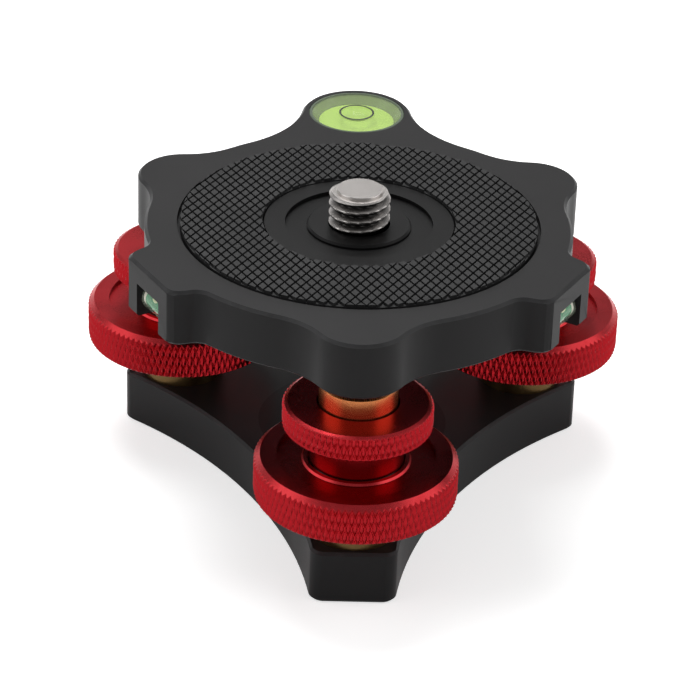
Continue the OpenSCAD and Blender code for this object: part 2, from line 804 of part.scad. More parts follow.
base_plate();
tripod_bush();
bearing_bushes();
thrust_washers();
on_leg(1) adjusting_wheel();  // adjusting_wheel_1
on_leg(2) adjusting_wheel();  // adjusting_wheel_2
on_leg(3) adjusting_wheel();  // adjusting_wheel_3
on_leg(1) wheel_retainer();  // wheel_retainer_1
on_leg(2) wheel_retainer();  // wheel_retainer_2
on_leg(3) wheel_retainer();  // wheel_retainer_3
on_leg(1) lock_washer();  // lock_washer_1
on_leg(2) lock_washer();  // lock_washer_2
on_leg(3) lock_washer();  // lock_washer_3
on_leg(1) lock_wheel();  // lock_wheel_1
on_leg(2) lock_wheel();  // lock_wheel_2
on_leg(3) lock_wheel();  // lock_wheel_3
on_leg(1) stud();  // stud_1
on_leg(2) stud();  // stud_2
on_leg(3) stud();  // stud_3
on_leg(1) ball_seat();  // ball_seat_1
on_leg(2) ball_seat();  // ball_seat_2
on_leg(3) ball_seat();  // ball_seat_3
top_plate();
ball_retainers();
rubber_pad();
centre_collar();
camera_screw();
screw_ring();
bullseye_body();
bullseye_fluid();
bullseye_backing();
tube_vials();
tube_fluids();
tube_caps();
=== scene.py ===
"""Looks of a leveling base for a tripod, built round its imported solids."""

import math

import bmesh
import bpy
from mathutils import Matrix, Vector


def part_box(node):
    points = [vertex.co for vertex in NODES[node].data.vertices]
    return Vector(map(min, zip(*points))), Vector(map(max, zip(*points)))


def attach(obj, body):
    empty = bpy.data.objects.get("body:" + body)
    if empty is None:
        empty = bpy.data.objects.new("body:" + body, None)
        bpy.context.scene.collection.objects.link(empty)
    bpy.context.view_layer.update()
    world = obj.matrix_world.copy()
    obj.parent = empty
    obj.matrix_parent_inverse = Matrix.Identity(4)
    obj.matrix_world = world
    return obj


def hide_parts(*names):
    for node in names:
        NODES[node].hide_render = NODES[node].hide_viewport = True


bl_info = {
    "name": "Leveling Base",
    "version": (1, 0, 0),
    "blender": (4, 5, 0),
    "location": "3D View > Sidebar > Leveling Base",
    "description": "Knurled wheels, diamond pad, cut thread, finishes and a pale stage",
    "category": "Object",
}

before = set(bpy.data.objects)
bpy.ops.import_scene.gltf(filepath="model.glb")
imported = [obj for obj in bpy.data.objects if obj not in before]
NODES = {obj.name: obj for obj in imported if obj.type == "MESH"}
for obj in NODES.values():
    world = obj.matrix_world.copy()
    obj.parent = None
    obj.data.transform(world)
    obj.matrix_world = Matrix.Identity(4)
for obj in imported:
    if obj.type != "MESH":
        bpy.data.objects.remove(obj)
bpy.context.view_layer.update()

MM = 0.001
TURN = 2 * math.pi
LEGS = (1, 2, 3)


def node_radius(node):
    """Radius in millimetres of a round node."""
    low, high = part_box(node)
    return (high.x - low.x) / 2 / MM


def node_low(node):
    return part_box(node)[0].z / MM


def node_high(node):
    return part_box(node)[1].z / MM


# Sizes in millimetres that the pieces take from the solids
WHEEL = node_radius("adjusting_wheel_1")
WHEEL_TOP = node_high("adjusting_wheel_1")
SPINDLE_END_Z = node_low("adjusting_wheel_1")
LOCK = node_radius("lock_wheel_1")
LOCK_Z = node_low("lock_wheel_1")
LOCK_TOP = node_high("lock_wheel_1")
PLATE_TOP = node_high("top_plate")
PAD = node_radius("rubber_pad")
PAD_FLOOR = node_low("rubber_pad")
PAD_TOP = node_high("rubber_pad")
COLLAR = node_radius("centre_collar")
COLLAR_Z = node_low("centre_collar")
SCREW_HEAD = node_radius("camera_screw")
SCREW_HEAD_Z = node_low("camera_screw")
SCREW_TIP_Z = node_high("camera_screw")
LEVEL = node_radius("bullseye_body")
LEVEL_SEAT_Z = node_low("bullseye_body")
LEVEL_TOP = node_high("bullseye_body")
LEVEL_FLOOR = node_radius("bullseye_backing")
LEVEL_BACK_Z = node_low("bullseye_backing")
LEVEL_FLOOR_Z = node_high("bullseye_backing")
LEVEL_AT = (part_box("bullseye_body")[0].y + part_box("bullseye_body")[1].y) / 2 / MM

# Sizes in millimetres that a node's box doesn't give, as in the solids
LEG_CIRCLE = 32.0
BORE = 4.05
WHEEL_H = 6.4
LOCK_H = 3.9
SMALL_CHAMFER = 0.3
TUBE_AT = 34.42
TUBE_MIDDLE = -0.65
TUBE_BUBBLE_REACH = 1.74
PAD_BORE = 15.0
SCREW = 4.7625
SCREW_HEAD_H = 2.5
SCREW_TIP = 3.6
SCREW_TIP_CONE_H = 0.8
SCREW_CONE_Z = SCREW_TIP_Z - SCREW_TIP_CONE_H
WHEEL_Z = WHEEL_TOP - WHEEL_H
LOCK_DISC_Z = LOCK_TOP - LOCK_H

# Direction of the ear that holds the right tube level
VIAL_EAR_ANGLE = math.radians(-30)
# Axis of the pieces in the middle of the top plate
PLATE_AXIS = Vector((0, 0, 0))

# Sizes in millimetres of the round level's thin parts: printed mark, window, rim and play between parts
LEVEL_INK = 0.03
LEVEL_SHEET = 0.25
LEVEL_RIM = 0.5
LEVEL_PLAY = 0.02
# The liquid makes its floor look wider and nearer than it is
LEVEL_SEEN_FLOOR = LEVEL_FLOOR + 0.3
LEVEL_SEEN_FLOOR_Z = LEVEL_FLOOR_Z + 0.6
LEVEL_WINDOW = LEVEL - LEVEL_RIM - LEVEL_PLAY
LEVEL_WINDOW_Z = LEVEL_TOP - LEVEL_SHEET
LEVEL_LIQUID_Z = LEVEL_WINDOW_Z - LEVEL_PLAY

# Columns of faces round a turned piece, and round the pad
COLUMNS = 96
PAD_COLUMNS = 192

# Angles in degrees past which an edge between two faces stays sharp
KNURL_EDGE = 20
CUT_EDGE = 25
RING_EDGE = 40


# Properties


def length_property(name, description, default, least, most):
    """Length whose default and limits are given in millimetres."""
    return bpy.props.FloatProperty(
        name=name, description=description, default=default * MM, min=least * MM, max=most * MM,
        unit="LENGTH", precision=5)


def angle_property(name, description, degrees):
    return bpy.props.FloatProperty(
        name=name, description=description, default=math.radians(degrees), subtype="ANGLE")


class LevelingBaseSizes(bpy.types.PropertyGroup):
    """Sizes of the fine forms that the solids leave out"""

    knurl_pitch: length_property("Knurl Pitch", "Width of one diamond of the knurl", 1.0, 0.5, 3)
    knurl_height: length_property("Knurl Height", "Height of one diamond of the knurl", 3.0, 1, 6)
    knurl_depth: length_property("Knurl Depth", "Depth of the knurl's grooves", 0.38, 0.05, 1)
    groove_pitch: length_property("Groove Pitch", "Distance between two of the pad's grooves", 1.4, 0.8, 4)
    groove_width: length_property("Groove Width", "Width of the pad's grooves at the top", 0.34, 0.1, 1)
    groove_depth: length_property("Groove Depth", "Depth of the pad's grooves", 0.45, 0.05, 0.5)
    groove_angle: angle_property("Groove Angle", "Turn of each set of grooves from the left-right line", 60)
    thread_pitch: length_property("Thread Pitch", "Pitch of the camera screw", 1.5875, 0.5, 3)
    thread_depth: length_property("Thread Depth", "Depth of the camera screw's thread", 0.859, 0.1, 1.5)
    tube_bubble_length: length_property(
        "Tube Bubble Length", "Length of the bubble in a tube level", 2.4, 0.5, 4)
    tube_bubble_width: length_property(
        "Tube Bubble Width", "Width of the bubble in a tube level", 1.5, 0.5, 2)
    corner_width: length_property(
        "Corner Width", "Rounding of the plates' upright corners on each side of an edge", 0.6, 0.1, 1)
    level_bubble_radius: length_property(
        "Level Bubble Radius", "Radius of the round level's bubble", 2.4, 0.5, 3)
    mark_radius: length_property("Mark Radius", "Radius of the ring mark on the round level", 2.75, 1, 5)
    mark_width: length_property("Mark Width", "Width of the ring mark's line", 0.32, 0.1, 1)


def colour_property(name, description, default):
    return bpy.props.FloatVectorProperty(
        name=name, description=description, default=default, size=4, min=0, max=1, subtype="COLOR")


class LevelingBaseFinishes(bpy.types.PropertyGroup):
    """Colours of the finishes"""

    black: colour_property("Black", "Black anodised plates", (0.02, 0.0195, 0.02, 1))
    red: colour_property("Red", "Red anodised wheels", (0.42, 0.014, 0.02, 1))
    copper: colour_property("Copper", "Copper coloured studs", (0.74, 0.28, 0.1, 1))
    # Bronze hue, darkened as painted shade for the bushes that sit in shade under the wheels
    bronze: colour_property("Bronze", "Bearing bushes", (0.16, 0.1, 0.04, 1))
    steel: colour_property("Steel", "Camera screw and nuts", (0.57, 0.54, 0.52, 1))
    rubber: colour_property("Rubber", "Camera pad", (0.013, 0.013, 0.0135, 1))
    dark_plastic: colour_property("Dark Plastic", "Washers between the wheels", (0.012, 0.012, 0.012, 1))
    pale_plastic: colour_property("Pale Plastic", "Seats round the balls", (0.75, 0.72, 0.62, 1))
    level_green: colour_property("Level Green", "Floor and liquid of the round level", (0.6, 0.88, 0.14, 1))
    level_wall: colour_property("Level Wall", "Frosted wall of the round level", (0.11, 0.14, 0.1, 1))
    level_clear: colour_property("Level Clear", "Clear windows of the levels", (0.75, 0.85, 0.65, 1))
    # Pale colour of the tube levels' bubbles is a painted highlight
    bubble: colour_property("Bubble", "Bubbles of the tube levels", (0.78, 0.85, 0.5, 1))
    tube_green: colour_property("Tube Green", "Liquid of the tube levels", (0.06, 0.36, 0.17, 1))
    mark: colour_property("Mark", "Ring mark on the round level", (0.01, 0.01, 0.01, 1))


class LevelingBaseStage(bpy.types.PropertyGroup):
    """Camera, lamps and floor"""

    elevation: angle_property("Elevation", "Height of the view above the horizon", 29.076)
    roll: angle_property("Roll", "Turn of the picture about the view's middle", 1.916)
    yaw: angle_property("Yaw", "Turn of the object on the floor", 1.204)
    distance: bpy.props.FloatProperty(
        name="Distance", description="Distance from the camera to the plate's top",
        default=492.72 * MM, unit="LENGTH")
    aside: bpy.props.FloatVectorProperty(
        name="Aside", description="Place of the plate's middle right of and above the view's middle",
        default=(2.953 * MM, 18.192 * MM), size=2, subtype="TRANSLATION")
    lens: bpy.props.FloatProperty(
        name="Lens", description="Focal length in millimetres on a 36 mm sensor",
        default=168.45, min=10, max=400)
    floor: colour_property("Floor", "Floor and backdrop", (0.8, 0.8, 0.8, 1))
    glow: bpy.props.FloatProperty(
        name="Glow", description="Light of the floor's own where it is seen", default=0.6, min=0, max=1)
    key_power: bpy.props.FloatProperty(
        name="Key", description="Power of the large lamp above", default=5.0, min=0, unit="POWER")
    fill_power: bpy.props.FloatProperty(
        name="Fill", description="Power of the lamps at the sides", default=1.6, min=0, unit="POWER")
    sky: bpy.props.FloatProperty(
        name="Sky", description="Strength of the light from all round", default=0.3, min=0, max=1)


# Node helpers


class Value:
    """What a node gives out; each operation written with it adds a Math node."""

    def __init__(self, socket):
        self.socket = socket
        self.tree = socket.id_data

    def __add__(self, other):
        return maths("ADD", self, other)

    def __sub__(self, other):
        return maths("SUBTRACT", self, other)

    def __rsub__(self, other):
        return maths("SUBTRACT", other, self)

    def __mul__(self, other):
        return maths("MULTIPLY", self, other)

    def __truediv__(self, other):
        return maths("DIVIDE", self, other)

    def __rtruediv__(self, other):
        return maths("DIVIDE", other, self)

    def __gt__(self, other):
        return maths("GREATER_THAN", self, other)

    def __lt__(self, other):
        return maths("LESS_THAN", self, other)


def add_node(tree, kind, inputs=None, **settings):
    """New node with its settings, and its inputs set to constants or linked to values."""
    made = tree.nodes.new(kind)
    for key, value in settings.items():
        setattr(made, key, value)
    for key, value in (inputs or {}).items():
        if isinstance(value, Value):
            tree.links.new(value.socket, made.inputs[key])
        else:
            made.inputs[key].default_value = value
    return made


def output_of(tree, kind, inputs=None, key=0, **settings):
    """One output of a new node."""
    return Value(add_node(tree, kind, inputs, **settings).outputs[key])


def outputs_of(node):
    """Outputs of a node by their names."""
    return {socket.name: Value(socket) for socket in node.outputs}


def maths(operation, *values):
    """Output of a Math node on values and constants, in the tree of the first value."""
    tree = next(value.tree for value in values if isinstance(value, Value))
    return output_of(tree, "ShaderNodeMath", dict(enumerate(values)), operation=operation)


def connect(value, target):
    value.tree.links.new(value.socket, target)


def new_group(kind, name, inputs, outputs):
    """Empty node group with named sockets: its tree, what it is given and where its results go."""
    tree = bpy.data.node_groups.new(name, kind)
    for in_out, sockets in (("INPUT", inputs), ("OUTPUT", outputs)):
        for label, (socket_type, default) in sockets.items():
            socket = tree.interface.new_socket(label, in_out=in_out, socket_type="NodeSocket" + socket_type)
            if default is not None:
                socket.default_value = default
    given = outputs_of(tree.nodes.new("NodeGroupInput"))
    return tree, given, tree.nodes.new("NodeGroupOutput").inputs


def geometry_group(name, inputs):
    sockets = {"Geometry": ("Geometry", None), **inputs}
    return new_group("GeometryNodeTree", name, sockets, {"Geometry": ("Geometry", None)})


def nested(tree, name, inputs):
    """Outputs of a group's node inside another tree."""
    kind = "GeometryNodeGroup" if tree.bl_idname == "GeometryNodeTree" else "ShaderNodeGroup"
    return outputs_of(add_node(tree, kind, inputs, node_tree=bpy.data.node_groups[name]))


# Geometry trees

# Share of the pitch by which a block's middle may lie off the pad's ring
EDGE_SHARE = 0.3
# Gap between the blocks' lower ends, as a share of a groove's width at the top
FLOOR_SHARE = 0.35
# Share of a groove's depth by which the blocks reach down into the ring
SUNK_SHARE = 0.35
# Points nearer than this, in millimetres, are joined where a turned piece closes
SEAM_GAP = 0.002


def position_axes(tree):
    """Coordinates of each point."""
    place = output_of(tree, "GeometryNodeInputPosition")
    return outputs_of(add_node(tree, "ShaderNodeSeparateXYZ", {0: place}))


def angle_radius_height(tree):
    """Angle of each point round z, its distance from z, and its height."""
    axes = position_axes(tree)
    angle = maths("ARCTAN2", axes["Y"], axes["X"])
    squares = maths("POWER", axes["X"], 2) + maths("POWER", axes["Y"], 2)
    return angle, maths("SQRT", squares), axes["Z"]


def moved_to(geometry, x, y, z):
    """Geometry whose points are moved to new coordinates."""
    place = output_of(geometry.tree, "ShaderNodeCombineXYZ", {"X": x, "Y": y, "Z": z})
    return output_of(geometry.tree, "GeometryNodeSetPosition", {"Geometry": geometry, "Position": place})


def turned_to(geometry, radius, angle, height):
    """Geometry whose points are moved to a radius, an angle round z and a height."""
    return moved_to(geometry, radius * maths("COSINE", angle), radius * maths("SINE", angle), height)


def turned_blank_tree():
    """Turns a line of points, radius along x and height along z, into a closed surface round z."""
    tree, given, out = geometry_group("Turned Blank", {"Columns": ("Int", COLUMNS)})
    line = given["Geometry"]
    row_count = output_of(tree, "GeometryNodeAttributeDomainSize", {"Geometry": line}, "Point Count")
    grid = output_of(tree, "GeometryNodeMeshGrid", {
        "Vertices X": given["Columns"] + 1, "Vertices Y": row_count}, "Mesh")
    index = output_of(tree, "GeometryNodeInputIndex")
    row = maths("MODULO", index, row_count)
    column = maths("FLOOR", (index + 0.5) / row_count)
    place = output_of(tree, "GeometryNodeInputPosition")
    sample = output_of(tree, "GeometryNodeSampleIndex", {
        "Geometry": line, "Index": row, "Value": place}, "Value", data_type="FLOAT_VECTOR", domain="POINT")
    point = outputs_of(add_node(tree, "ShaderNodeSeparateXYZ", {0: sample}))
    turned = turned_to(grid, point["X"], column / given["Columns"] * TURN, point["Z"])
    merged = output_of(tree, "GeometryNodeMergeByDistance", {
        "Geometry": turned, "Distance": SEAM_GAP * MM})
    connect(merged, out["Geometry"])


def turned_group(name, numbers, columns=COLUMNS):
    """Start of a geometry tree on a turned blank: its surface, what it is given and its output."""
    tree, given, out = geometry_group(name, {
        "Columns": ("Int", columns), **{label: ("Float", default) for label, default in numbers.items()},
        "Axis": ("Vector", None), "Material": ("Material", None)})
    turned = nested(tree, "Turned Blank", {"Geometry": given["Geometry"], "Columns": given["Columns"]})
    return turned["Geometry"], given, out


def ridge(value):
    """0 where a value is whole and 1 halfway between."""
    return 1 - maths("ABSOLUTE", maths("FRACT", value) * 2 - 1)


def blend(share, low, high):
    """Value that runs from a low to a high one with a share."""
    return output_of(share.tree, "ShaderNodeMix", {0: share, 2: low, 3: high})


def finish_tree(geometry, given, out):
    """Realizes the geometry, moves it to its axis and sets its material."""
    tree = geometry.tree
    real = output_of(tree, "GeometryNodeRealizeInstances", {"Geometry": geometry})
    moved = output_of(tree, "GeometryNodeTransform", {"Geometry": real, "Translation": given["Axis"]})
    painted = output_of(tree, "GeometryNodeSetMaterial", {
        "Geometry": moved, "Material": given["Material"]})
    connect(painted, out["Geometry"])
    return tree


def knurled_tree():
    """Cuts a diamond knurl into a turned blank, down to a depth below its full radius."""
    turned, given, out = turned_group("Diamond Knurl", {
        "Radius": 0.01, "Diamonds": 96.0, "Diamond Height": 0.003, "Depth": 0.0003, "Land": 0.8})
    angle, radius, height = angle_radius_height(turned.tree)
    along = angle / TURN * given["Diamonds"]
    up = height / given["Diamond Height"]
    peak = maths("MINIMUM", ridge(along + up), ridge(along - up))
    full = maths("MINIMUM", peak / given["Land"], 1)
    new_radius = maths("MINIMUM", radius, given["Radius"] - (1 - full) * given["Depth"])
    return finish_tree(turned_to(turned, new_radius, angle, height), given, out)


def threaded_tree():
    """Cuts a helical thread into a turned blank above a height."""
    turned, given, out = turned_group("Helical Thread", {
        "Radius": 0.005, "Pitch": 0.0016, "Depth": 0.0009, "Low": 0.04})
    angle, radius, height = angle_radius_height(turned.tree)
    crest_share = 0.14
    root_share = 0.2
    rise = (ridge(height / given["Pitch"] - angle / TURN) - root_share) / (1 - crest_share - root_share)
    profile = maths("MAXIMUM", maths("MINIMUM", rise, 1), 0)
    threaded = maths("MINIMUM", radius, given["Radius"] - (1 - profile) * given["Depth"])
    new_radius = radius + (threaded - radius) * (height > given["Low"])
    return finish_tree(turned_to(turned, new_radius, angle, height), given, out)


def rhombic(across, along, given, share):
    """Offset along the two groove directions, for steps counted in grooves."""
    turn = given["Turn"]
    length = given["Groove Pitch"] / maths("SINE", turn * 2) * share
    x = maths("COSINE", turn) * (across + along) * length
    y = maths("SINE", turn) * (across - along) * length
    return x, y


def block_places(tree, given):
    """Points where two crossing sets of grooves leave a block on the ring."""
    pitch = bpy.context.scene.leveling_base_sizes.groove_pitch
    steps = 2 * math.ceil(PAD * MM / pitch)
    grid = output_of(tree, "GeometryNodeMeshGrid", {
        "Vertices X": steps + 1, "Vertices Y": steps + 1, "Size X": steps, "Size Y": steps}, "Mesh")
    axes = position_axes(tree)
    x, y = rhombic(axes["X"], axes["Y"], given, 1)
    places = moved_to(grid, x, y, 0)
    _, radius, _ = angle_radius_height(tree)
    margin = given["Groove Pitch"] * EDGE_SHARE
    off_ring = maths("MAXIMUM", radius > given["Outer"] + margin, radius < given["Inner"] - margin)
    return output_of(tree, "GeometryNodeDeleteGeometry", {
        "Geometry": places, "Selection": off_ring}, domain="POINT")


def block_shape(tree, given):
    """One block: a rhombus with its sides leaning in from the grooves' floor."""
    cube = output_of(tree, "GeometryNodeMeshCube", {"Size": (1, 1, 1)}, "Mesh")
    axes = position_axes(tree)
    upper = axes["Z"] > 0
    width_share = given["Groove Width"] / given["Groove Pitch"]
    gap = blend(upper, width_share * FLOOR_SHARE, width_share)
    x, y = rhombic(axes["X"], axes["Y"], given, 1 - gap)
    low = given["Top"] - given["Groove Depth"] * (1 + SUNK_SHARE)
    return moved_to(cube, x, y, blend(upper, low, given["Top"]))


def diamond_pad_tree():
    """Ring with rhombic blocks on it, cut off at the ring's two edges."""
    turned, given, out = turned_group("Diamond Pad", {
        "Groove Pitch": 0.0014, "Groove Width": 0.0004, "Groove Depth": 0.0003, "Turn": 1.0,
        "Inner": 0.01, "Outer": 0.03, "Top": 0.04}, PAD_COLUMNS)
    tree = turned.tree
    blocks = output_of(tree, "GeometryNodeInstanceOnPoints", {
        "Points": block_places(tree, given), "Instance": block_shape(tree, given)})
    real = output_of(tree, "GeometryNodeRealizeInstances", {"Geometry": blocks})
    angle, radius, height = angle_radius_height(tree)
    kept = maths("MAXIMUM", maths("MINIMUM", radius, given["Outer"]), given["Inner"])
    joined = add_node(tree, "GeometryNodeJoinGeometry")
    for part in (turned, turned_to(real, kept, angle, height)):
        connect(part, joined.inputs[0])
    return finish_tree(Value(joined.outputs[0]), given, out)


# Pieces


def linked_object(name, data):
    made = bpy.data.objects.new(name, data)
    bpy.context.scene.collection.objects.link(made)
    return made


def line_object(name, points):
    """Object whose mesh is a line through points, each a radius and a height in millimetres."""
    mesh = bpy.data.meshes.new(name)
    places = [(radius * MM, 0, height * MM) for radius, height in points]
    mesh.from_pydata(places, [(i, i + 1) for i in range(len(places) - 1)], [])
    return linked_object(name, mesh)


def grown(name, points, tree, material, axis, values):
    """Piece that a geometry tree makes round an upright axis from a line of points, as a plain mesh."""
    source = line_object(name + "_line", points)
    modifier = source.modifiers.new("Tree", "NODES")
    modifier.node_group = tree
    values = {"Axis": axis, "Material": bpy.data.materials[material], **values}
    for item in tree.interface.items_tree:
        if item.item_type == "SOCKET" and item.in_out == "INPUT" and item.name in values:
            modifier[item.identifier] = values[item.name]
    bpy.context.view_layer.update()
    shape = source.evaluated_get(bpy.context.evaluated_depsgraph_get())
    mesh = bpy.data.meshes.new_from_object(shape)
    bpy.data.objects.remove(source)
    if not mesh.polygons:
        raise RuntimeError(f"{name} has no faces")
    shell = bmesh.new()
    shell.from_mesh(mesh)
    bmesh.ops.recalc_face_normals(shell, faces=shell.faces)
    shell.to_mesh(mesh)
    shell.free()
    mesh.name = name
    return linked_object(name, mesh)


def shell_piece(name, shell, material):
    """Piece of one material from a shell, which is used up."""
    mesh = bpy.data.meshes.new(name)
    shell.to_mesh(mesh)
    shell.free()
    mesh.materials.append(bpy.data.materials[material])
    return linked_object(name, mesh)


def smooth_by_angle(piece, degrees):
    """Smooth faces, with sharp edges where two faces meet at more than an angle."""
    shell = bmesh.new()
    shell.from_mesh(piece.data)
    for face in shell.faces:
        face.smooth = True
    for edge in shell.edges:
        edge.smooth = edge.calc_face_angle(math.pi) < math.radians(degrees)
    shell.to_mesh(piece.data)
    shell.free()


def leg_axis(leg):
    """Place of a leg's upright axis, the first leg's at the front."""
    first_degrees = -90
    step_degrees = 120
    angle = math.radians(first_degrees + step_degrees * (leg - 1))
    return Vector((math.cos(angle), math.sin(angle), 0)) * LEG_CIRCLE * MM


def rows(start, end, step):
    """Points from a start to an end, no further apart than a step."""
    count = math.ceil(math.dist(start, end) / step)
    return [tuple(a + (b - a) * i / count for a, b in zip(start, end)) for i in range(count + 1)]


def knurled_rows(radius, low, high, low_chamfer, high_chamfer, step):
    """Points up a knurled rim and over both its chamfers, each a width and a height."""
    low_edge = (radius, low + low_chamfer[1])
    high_edge = (radius, high - high_chamfer[1])
    chamfer_step = step / 3
    return (rows((radius - low_chamfer[0], low), low_edge, chamfer_step)[:-1]
            + rows(low_edge, high_edge, step)
            + rows(high_edge, (radius - high_chamfer[0], high), chamfer_step)[1:])


def adjusting_wheel_line(step):
    """Closed half section of an adjusting wheel, starting at its bore's lower end."""
    spindle = 5.25
    spindle_end = 4.8
    nut_top = 2.95
    rim_chamfer = (0.95, 0.85)
    dish = 12.0
    dish_z = WHEEL_TOP - 0.65
    bead_in = 7.4
    bead_out = 8.25
    bead_top = dish_z + 0.32
    bead_slope = 0.25
    bore = 7.0
    bore_z = WHEEL_TOP - 2.3
    low = [(BORE, SPINDLE_END_Z), (spindle_end, SPINDLE_END_Z), (spindle_end, nut_top),
           (spindle, nut_top), (spindle, WHEEL_Z)]
    rim = knurled_rows(WHEEL, WHEEL_Z, WHEEL_TOP, (SMALL_CHAMFER, SMALL_CHAMFER), rim_chamfer, step)
    high = [(dish, WHEEL_TOP), (dish, dish_z), (bead_out, dish_z), (bead_out - bead_slope, bead_top),
            (bead_in, bead_top), (bead_in, dish_z), (bore, dish_z - bead_slope),
            (bore, bore_z), (BORE, bore_z), (BORE, SPINDLE_END_Z)]
    return low + rim + high


def lock_wheel_line(step):
    """Closed half section of a lock wheel, starting at its bore's lower end."""
    hub = 7.1
    rim_chamfer = (0.8, 0.45)
    bore = 6.2
    bore_z = LOCK_TOP - 5.05
    low = [(BORE, LOCK_Z), (hub - SMALL_CHAMFER, LOCK_Z), (hub, LOCK_Z + SMALL_CHAMFER), (hub, LOCK_DISC_Z)]
    rim = knurled_rows(LOCK, LOCK_DISC_Z, LOCK_TOP, (SMALL_CHAMFER, SMALL_CHAMFER), rim_chamfer, step)
    high = [(bore, LOCK_TOP), (bore, bore_z), (BORE, bore_z), (BORE, LOCK_Z)]
    return low + rim + high


def knurled_wheel(name, node, body, line, radius, tree, leg):
    """One knurled wheel on its leg's axis, in place of its plain solid."""
    sizes = bpy.context.scene.leveling_base_sizes
    samples = 8
    land = 0.72
    diamonds = round(TURN * radius * MM / sizes.knurl_pitch)
    points = line(sizes.knurl_height / MM / samples)
    piece = grown(name, points, tree, "Red Anodised", leg_axis(leg), {
        "Columns": diamonds * samples, "Radius": radius * MM, "Diamonds": float(diamonds),
        "Diamond Height": sizes.knurl_height, "Depth": sizes.knurl_depth, "Land": land})
    smooth_by_angle(piece, KNURL_EDGE)
    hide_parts(node)
    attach(piece, body)


class LEVELING_BASE_OT_wheels(bpy.types.Operator):
    """Builds the six knurled wheels"""

    bl_idname = "leveling_base.wheels"
    bl_label = "Knurled Wheels"

    def execute(self, context):
        tree = knurled_tree()
        for leg in LEGS:
            knurled_wheel(f"knurled_wheel_{leg}", f"adjusting_wheel_{leg}", f"wheel_{leg}",
                          adjusting_wheel_line, WHEEL, tree, leg)
            knurled_wheel(f"knurled_lock_wheel_{leg}", f"lock_wheel_{leg}", f"lock_wheel_{leg}",
                          lock_wheel_line, LOCK, tree, leg)
        return {"FINISHED"}


class LEVELING_BASE_OT_pad(bpy.types.Operator):
    """Builds the rubber pad with its crossing grooves"""

    bl_idname = "leveling_base.pad"
    bl_label = "Diamond Pad"

    def execute(self, context):
        sizes = context.scene.leveling_base_sizes
        floor_z = PAD_TOP - sizes.groove_depth / MM
        line = [(PAD_BORE, PAD_FLOOR), (PAD, PAD_FLOOR), (PAD, floor_z),
                (PAD_BORE, floor_z), (PAD_BORE, PAD_FLOOR)]
        piece = grown("diamond_pad", line, diamond_pad_tree(), "Pad Rubber", PLATE_AXIS, {
            "Groove Pitch": sizes.groove_pitch, "Groove Width": sizes.groove_width,
            "Groove Depth": sizes.groove_depth, "Turn": sizes.groove_angle,
            "Inner": PAD_BORE * MM, "Outer": PAD * MM, "Top": PAD_TOP * MM})
        smooth_by_angle(piece, CUT_EDGE)
        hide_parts("rubber_pad")
        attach(piece, "plate")
        return {"FINISHED"}


def camera_screw_line(sizes):
    """Half section of the camera screw, from the middle of its head round to the middle of its tip."""
    rows_per_turn = 16
    step = sizes.thread_pitch / MM / rows_per_turn
    core = SCREW - sizes.thread_depth / MM
    neck_z = SCREW_HEAD_Z + SCREW_HEAD_H
    shoulder = 4.3
    shoulder_z = SCREW_TIP_Z - 0.45
    edge = 0.12
    head = [(0, SCREW_HEAD_Z), (SCREW_HEAD - SMALL_CHAMFER, SCREW_HEAD_Z),
            (SCREW_HEAD, SCREW_HEAD_Z + SMALL_CHAMFER), (SCREW_HEAD, neck_z),
            (core, neck_z), (core, PLATE_TOP)]
    thread = rows((SCREW, PLATE_TOP + SMALL_CHAMFER), (SCREW, SCREW_CONE_Z), step)
    cone = rows((SCREW, SCREW_CONE_Z), (shoulder, shoulder_z), step / 2)[1:]
    tip = [(SCREW_TIP, shoulder_z), (SCREW_TIP, SCREW_TIP_Z - edge),
           (SCREW_TIP - edge, SCREW_TIP_Z), (0, SCREW_TIP_Z)]
    return head + thread + cone + tip


def ring_tree():
    """Plain turned ring."""
    return finish_tree(*turned_group("Plain Ring", {}))


def plate_ring(name, line, y, material):
    """Plain turned piece on the top plate, round an upright axis on its middle line."""
    tree = bpy.data.node_groups["Plain Ring"]
    piece = grown(name, line, tree, material, Vector((0, y * MM, 0)), {})
    smooth_by_angle(piece, RING_EDGE)
    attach(piece, "plate")
    return piece


class LEVELING_BASE_OT_screw(bpy.types.Operator):
    """Builds the camera screw with its helical thread, and the collar round it"""

    bl_idname = "leveling_base.screw"
    bl_label = "Camera Screw"

    def execute(self, context):
        sizes = context.scene.leveling_base_sizes
        line = camera_screw_line(sizes)
        piece = grown("cut_camera_screw", line, threaded_tree(), "Threaded Steel", PLATE_AXIS, {
            "Radius": SCREW * MM, "Pitch": sizes.thread_pitch, "Depth": sizes.thread_depth,
            "Low": PLATE_TOP * MM})
        smooth_by_angle(piece, CUT_EDGE)
        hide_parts("camera_screw")
        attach(piece, "plate")
        inside = SCREW + 0.05
        collar = plate_ring("cut_centre_collar", [
            (inside, COLLAR_Z), (COLLAR, COLLAR_Z), (COLLAR, PLATE_TOP - SMALL_CHAMFER),
            (COLLAR - SMALL_CHAMFER, PLATE_TOP), (inside, PLATE_TOP), (inside, COLLAR_Z)],
            0, "Black Anodised")
        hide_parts("centre_collar")
        return {"FINISHED"}


def level_cup():
    """Frosted cup round the round level's floor and liquid."""
    inside = LEVEL_SEEN_FLOOR + LEVEL_PLAY
    rim = LEVEL - LEVEL_RIM
    lip = SMALL_CHAMFER / 2
    cup = plate_ring("level_cup", [
        (inside, LEVEL_SEAT_Z), (LEVEL - SMALL_CHAMFER, LEVEL_SEAT_Z),
        (LEVEL, LEVEL_SEAT_Z + SMALL_CHAMFER), (LEVEL, LEVEL_TOP - lip),
        (LEVEL - lip, LEVEL_TOP), (rim, LEVEL_TOP), (rim, LEVEL_LIQUID_Z),
        (inside, LEVEL_SEEN_FLOOR_Z), (inside, LEVEL_SEAT_Z)],
        LEVEL_AT, "Level Wall")
    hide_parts("bullseye_body")


